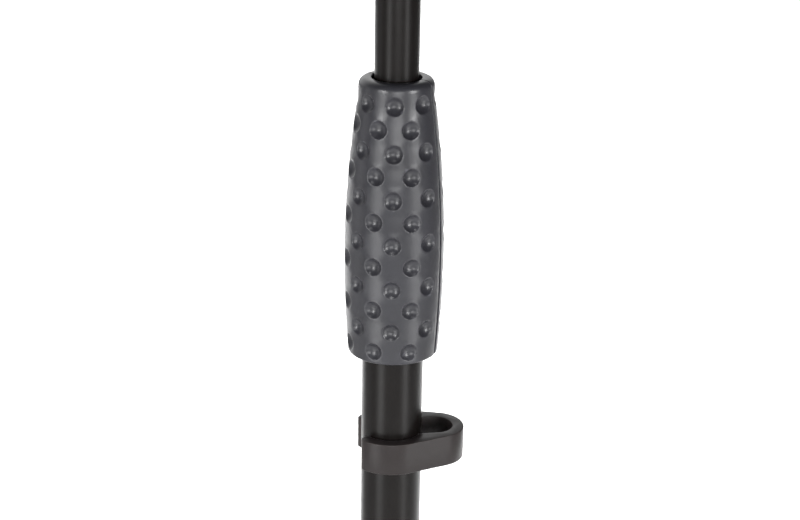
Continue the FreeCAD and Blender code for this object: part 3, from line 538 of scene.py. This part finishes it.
def grip_shell(name, facing, wedge, body, node):
    """Half of the grip: dished skin, rounded ends, hollow back and the faces of the seam."""
    points, faces = [], []
    neck_top = GRIP_HEIGHT - NECK_ROUND
    for row in range(DISH_ROWS):
        centre = FIRST_ROW + ROW_PITCH * row
        bottom = BASE_ROUND if row == 0 else centre - ROW_PITCH / 2
        top = neck_top if row == DISH_ROWS - 1 else centre + ROW_PITCH / 2
        if (DISH_ROWS - 1 - row) % 2 == 0:
            middles = (-67.5, -22.5, 22.5, 67.5)
        else:
            middles = (-45.0, 0.0, 45.0)
            plain_cell(points, faces, -90.0, bottom, top, facing, wedge)
            plain_cell(points, faces, 67.5, bottom, top, facing, wedge)
        for middle in middles:
            dished_cell(points, faces, middle, centre, bottom, top, facing, wedge)
    rings = shell_back()
    columns = int(180 / STEP_ANGLE)
    rows = [(BASE_RADIUS, BASE_ROUND, False)] + rings + [(NECK_RADIUS, neck_top, False)]
    first = len(points)
    for radius, height, _ in rows:
        for column in range(columns + 1):
            points.append(on_shell(-90 + STEP_ANGLE * column, radius, height, facing, wedge))
    for ring in range(len(rows) - 1):
        for column in range(columns):
            corner = first + ring * (columns + 1) + column
            faces.append((corner, corner + columns + 1, corner + columns + 2, corner + 1))
    piece = new_piece(name, points, (), faces)
    creases = set()
    for ring, (_, _, sharp) in enumerate(rows):
        if sharp:
            row_start = first + ring * (columns + 1)
            for column in range(columns):
                creases.add((row_start + column, row_start + column + 1))
    crease = piece.data.attributes.new("crease_edge", "FLOAT", "EDGE")
    for edge in piece.data.edges:
        if tuple(sorted(edge.vertices)) in creases:
            crease.data[edge.index].value = 1.0
    tidy_normals(piece)
    apply_modifier(piece, "SUBSURF", levels=1, render_levels=1)
    close_seam(piece)
    round_edges(piece, 0.22, 2, 48)
    smooth(piece, 50)
    place(piece, body, node)
    dress(piece, "grip_plastic")


def close_seam(piece):
    """Fill the two open sides of the shell with the flat faces of the seam."""
    pick(piece)
    for side in (-1, 1):
        bpy.ops.object.mode_set(mode="EDIT")
        bpy.ops.mesh.select_mode(type="EDGE")
        bpy.ops.mesh.select_all(action="DESELECT")
        bpy.ops.mesh.select_non_manifold(extend=False, use_wire=False, use_multi_face=False,
                                         use_non_contiguous=False, use_verts=False)
        leave_edit()
        for edge in piece.data.edges:
            middle = sum(piece.data.vertices[v].co.x for v in edge.vertices)
            if middle * side < 0:
                edge.select = False
        bpy.ops.object.mode_set(mode="EDIT")
        bpy.ops.mesh.edge_face_add()
        leave_edit()
    tidy_normals(piece)


grip_shell("grip_front", -90.0, False, "stand", "front_shell")
grip_shell("grip_lever", 90.0, True, "lever", "lever_shell")


# ---- column ------------------------------------------------------------------------------------

LOWER_WALL, MAST_WALL, TUBE_LIP = 1.5, 1.2, 0.4
MAST_RADIUS, BEAD_RISE, BEAD_HALF = 8.75, 22.6, 1.0


def lower_tube():
    """Lower tube with its two ends slightly broken."""
    bottom, top = lower_low[2], lower_high[2]
    inner = LOWER_RADIUS - LOWER_WALL
    piece = turned("column_lower",
                   [(LOWER_RADIUS - TUBE_LIP, bottom), (LOWER_RADIUS, bottom + TUBE_LIP),
                    (LOWER_RADIUS, top - TUBE_LIP), (LOWER_RADIUS - TUBE_LIP, top),
                    (inner, top), (inner, bottom)])
    smooth(piece)
    place(piece, "stand", "lower_tube")
    dress(piece, "black_tube")


def upper_tube():
    """Mast with the rolled bead that stops it in the guide bush."""
    bottom, top = upper_low[2], upper_high[2]
    inner = MAST_RADIUS - MAST_WALL
    bead_low = bottom + BEAD_RISE
    outline = [(MAST_RADIUS, bottom), (MAST_RADIUS, bead_low)]
    for step in range(7):
        turn = math.pi * step / 6
        outline.append((MAST_RADIUS + (BEAD_RADIUS - MAST_RADIUS) * math.sin(turn),
                        bead_low + BEAD_HALF - BEAD_HALF * math.cos(turn)))
    outline += [(MAST_RADIUS, bead_low + 2 * BEAD_HALF), (MAST_RADIUS, top - TUBE_LIP),
                (MAST_RADIUS - TUBE_LIP, top), (inner, top), (inner, bottom)]
    piece = turned("column_mast", outline)
    smooth(piece)
    place(piece, "mast", "upper_tube")
    dress(piece, "black_tube")


lower_tube()
upper_tube()


# ---- cable clip --------------------------------------------------------------------------------

CLIP_BORE, CLIP_OUTER, LOOP_CENTRE, LOOP_RADIUS, LOOP_BORE = 12.6, 17.5, 18.4, 12.0, 7.3
FRONT_ARM, REAR_ARM, CLIP_TURN = 140.0, 132.0, 34.0


def arc(radius, start, end, steps, centre=0.0):
    """Points on an arc round a spot on the loop's centre line, angles in degrees."""
    turns = [math.radians(start + (end - start) * i / steps) for i in range(steps + 1)]
    return [(centre + radius * math.cos(turn), radius * math.sin(turn)) for turn in turns]


def arm_end(angle, first):
    """Half-round end of an arm of the clip, from the side facing one way to the other."""
    wall = (CLIP_OUTER - CLIP_BORE) / 2
    turn = math.radians(angle)
    middle = ((CLIP_BORE + wall) * math.cos(turn), (CLIP_BORE + wall) * math.sin(turn))
    swings = [math.radians(first - 180 * step / 8) for step in range(1, 8)]
    return [(middle[0] + wall * math.cos(swing), middle[1] + wall * math.sin(swing))
            for swing in swings]


def cable_clip():
    """Clip outline drawn flat with its rounded arm ends, pulled up and rounded all round."""
    tangent = math.degrees(math.acos((CLIP_OUTER - LOOP_RADIUS) / LOOP_CENTRE))
    throat = math.degrees(math.asin(LOOP_BORE / CLIP_BORE))
    outline = arc(CLIP_BORE, -FRONT_ARM, -throat, 40)
    outline += arc(LOOP_BORE, -90, 90, 24, LOOP_CENTRE)
    outline += arc(CLIP_BORE, throat, REAR_ARM, 40)
    outline += arm_end(REAR_ARM, REAR_ARM + 180)
    outline += arc(CLIP_OUTER, REAR_ARM, tangent, 32)
    outline += arc(LOOP_RADIUS, tangent, -tangent, 36, LOOP_CENTRE)
    outline += arc(CLIP_OUTER, -tangent, -FRONT_ARM, 32)
    outline += arm_end(-FRONT_ARM, -FRONT_ARM)
    points = [(x, y, clip_low[2]) for x, y in outline]
    piece = new_piece("clip_body", points, (), [tuple(range(len(points)))])
    edit_all()
    bpy.ops.mesh.remove_doubles(threshold=0.01 * MM)
    bpy.ops.mesh.extrude_region_move(
        TRANSFORM_OT_translate={"value": (0, 0, (clip_high[2] - clip_low[2]) * MM)})
    leave_edit()
    tidy_normals(piece)
    round_edges(piece, 0.4, 3, 50)
    piece.data.transform(Matrix.Rotation(math.radians(CLIP_TURN), 4, "Z"))
    smooth(piece, 40)
    place(piece, "clip", "cable_clip")
    dress(piece, "clip_plastic")


cable_clip()


# ---- parts whose edges only need rounding ------------------------------------------------------

SOFTENED = [
    ("hub", "base_hub", 0.8, "stand"),
    ("column_foot", "base_foot", 0.8, "stand"),
    ("pivot_bolts", "base_bolts", 0.4, "stand"),
    ("pivot_nuts", "base_nuts", 0.4, "stand"),
    ("upper_bush", "neck_bush", 0.3, "stand"),
    ("tilt_socket", "desk_fork", 0.7, "mast"),
    ("tilt_bolt", "desk_bolt", 0.4, "mast"),
    ("tilt_knob", "desk_knob", 0.9, "knob"),
    ("desk_bracket", "desk_mount", 0.6, "desk"),
    ("desk_panel", "desk_sheet", 0.3, "desk"),
    ("desk_rivets", "desk_rivet_heads", 0.6, "desk"),
    ("hub_screw", "base_hub_screw", 0.15, "stand"),
    ("lever_pins", "grip_lever_pins", 0.25, "stand"),
    ("lower_collar", "grip_collar", 0.25, "stand"),
    ("collar_screws", "grip_collar_screws", 0.15, "stand"),
    ("lock_plate", "grip_lock_plate", 0.3, "lock_plate"),
    ("guide_bush", "mast_guide_bush", 0.2, "mast_guide"),
    ("mast_plug", "mast_end_plug", 0.3, "mast"),
] + [(f"leg_{n}_{part}", f"leg_{n}_{part}_shaped", width, f"leg_{n}")
     for n in (1, 2, 3) for part, width in (("knuckle", 0.6), ("tube", 0.25), ("foot", 0.8))]
for node, name, width, body in SOFTENED:
    dress(softened(node, name, width, body), SLOTS[node])

for node, thing in frame["nodes"].items():
    dress(thing, SLOTS[node])


# ---- floor, light and camera -------------------------------------------------------------------

CAMERA_AZIMUTH, CAMERA_PITCH, CAMERA_ROLL = 24.5, 20.5, 0.95
CAMERA_REACH, CAMERA_LENS = 690.0, 77.4
AIM_HEIGHT, AIM_SIDE = 38.4, 2.4
BACK_TURN = math.radians(CAMERA_AZIMUTH + 5)
GLOW_TURN, GLOW_RISE = math.radians(CAMERA_AZIMUTH + 22), 0.2
GRIP_MIDDLE = Vector((0, 0, (GRIP_BASE + GRIP_HEIGHT / 2) * MM))
BACK_FLOOR = Vector((-math.sin(BACK_TURN), math.cos(BACK_TURN), 0)) * 2.3


def pale_floor():
    """Plain floor, almost white and wholly dull."""
    bpy.ops.mesh.primitive_plane_add(size=60, location=(0, 0, 0))
    floor = bpy.context.object
    floor.name = "studio_floor"
    material, tree, spot = surface("pale_floor")
    cloud = add(tree, "ShaderNodeTexNoise", {"Vector": spot, "Scale": features(600.0)})
    share = add(tree, "ShaderNodeMapRange", {"Value": cloud, **NOISE_RANGE})
    tone = add(tree, "ShaderNodeMix", {0: share, 6: linear("#f4f4f4"), 7: linear("#fafafa")}, 2,
               data_type="RGBA")
    shader = add(tree, "ShaderNodeBsdfPrincipled",
                 {"Base Color": tone, "Roughness": 0.9, "Specular IOR Level": 0.0})
    add(tree, "ShaderNodeOutputMaterial", {"Surface": shader})
    floor.data.materials.append(material)


def soft_light(name, azimuth, elevation, distance, width, height, power, aim, spread_angle=180):
    """A softbox round the object; azimuth is taken from the camera's side of the column."""
    turn = math.radians(CAMERA_AZIMUTH + azimuth)
    rise = math.radians(elevation)
    away = Vector((math.sin(turn) * math.cos(rise), -math.cos(turn) * math.cos(rise),
                   math.sin(rise)))
    lamp = bpy.data.lights.new(name, "AREA")
    lamp.shape = "RECTANGLE"
    lamp.size, lamp.size_y = width, height
    lamp.energy = power
    lamp.spread = math.radians(spread_angle)
    holder = bpy.data.objects.new(name, lamp)
    holder.location = aim + away * distance
    holder.rotation_euler = (-away).to_track_quat("-Z", "Y").to_euler()
    holder.visible_camera = False
    bpy.context.collection.objects.link(holder)


def studio_world():
    """Surround that is bright behind the object and dim in front, as in a half-open studio."""
    world = bpy.data.worlds.new("studio")
    bpy.context.scene.world = world
    world.use_nodes = True
    tree = world.node_tree
    tree.nodes.clear()
    spot = add(tree, "ShaderNodeTexCoord", output="Generated")
    behind = add(tree, "ShaderNodeVectorMath",
                 {0: spot, 1: (-math.sin(GLOW_TURN), math.cos(GLOW_TURN), GLOW_RISE)}, "Value",
                 operation="DOT_PRODUCT")
    glow = add(tree, "ShaderNodeMapRange",
               {"Value": behind, "From Min": 0.56, "From Max": 0.97, "To Min": 0.06,
                "To Max": 1.5})
    light = add(tree, "ShaderNodeBackground", {"Color": (1, 1, 1, 1), "Strength": glow})
    add(tree, "ShaderNodeOutputWorld", {"Surface": light})


def camera():
    turn, pitch = math.radians(CAMERA_AZIMUTH), math.radians(CAMERA_PITCH)
    back = Vector((math.sin(turn) * math.cos(pitch), -math.cos(turn) * math.cos(pitch),
                   math.sin(pitch)))
    right = Vector((math.cos(turn), math.sin(turn), 0))
    aim = (Vector((0, 0, GRIP_BASE + AIM_HEIGHT)) + right * AIM_SIDE) * MM
    lens = bpy.data.cameras.new("camera")
    lens.lens = CAMERA_LENS
    lens.sensor_width = 36
    holder = bpy.data.objects.new("camera", lens)
    holder.location = aim + back * CAMERA_REACH * MM
    upright = (-back).to_track_quat("-Z", "Y").to_matrix().to_4x4()
    tilt = Matrix.Rotation(math.radians(CAMERA_ROLL), 4, "Z")
    holder.rotation_euler = (upright @ tilt).to_euler()
    bpy.context.collection.objects.link(holder)
    bpy.context.scene.camera = holder


pale_floor()
studio_world()
soft_light("strip_left", -42, -21, 1.0, 0.34, 0.52, 2.5, GRIP_MIDDLE)
soft_light("strip_right", 51, -21, 1.0, 0.28, 0.52, 2.1, GRIP_MIDDLE)
soft_light("softbox_left", -40, 9, 1.5, 0.38, 0.4, 11.0, GRIP_MIDDLE)
soft_light("softbox_right", 50, 9, 1.5, 0.36, 0.4, 12.5, GRIP_MIDDLE)
soft_light("front_fill", 5, 4, 1.8, 0.9, 0.6, 13.0, GRIP_MIDDLE)
soft_light("overhead", 0, 66, 1.4, 0.5, 0.35, 12.0, GRIP_MIDDLE)
soft_light("side_left", -92, 0, 1.4, 0.4, 1.2, 1.6, GRIP_MIDDLE)
soft_light("backdrop_light", 180, 90, 0.8, 3.6, 3.3, 78, BACK_FLOOR, 60)
camera()
bpy.context.scene.view_settings.view_transform = "Standard"
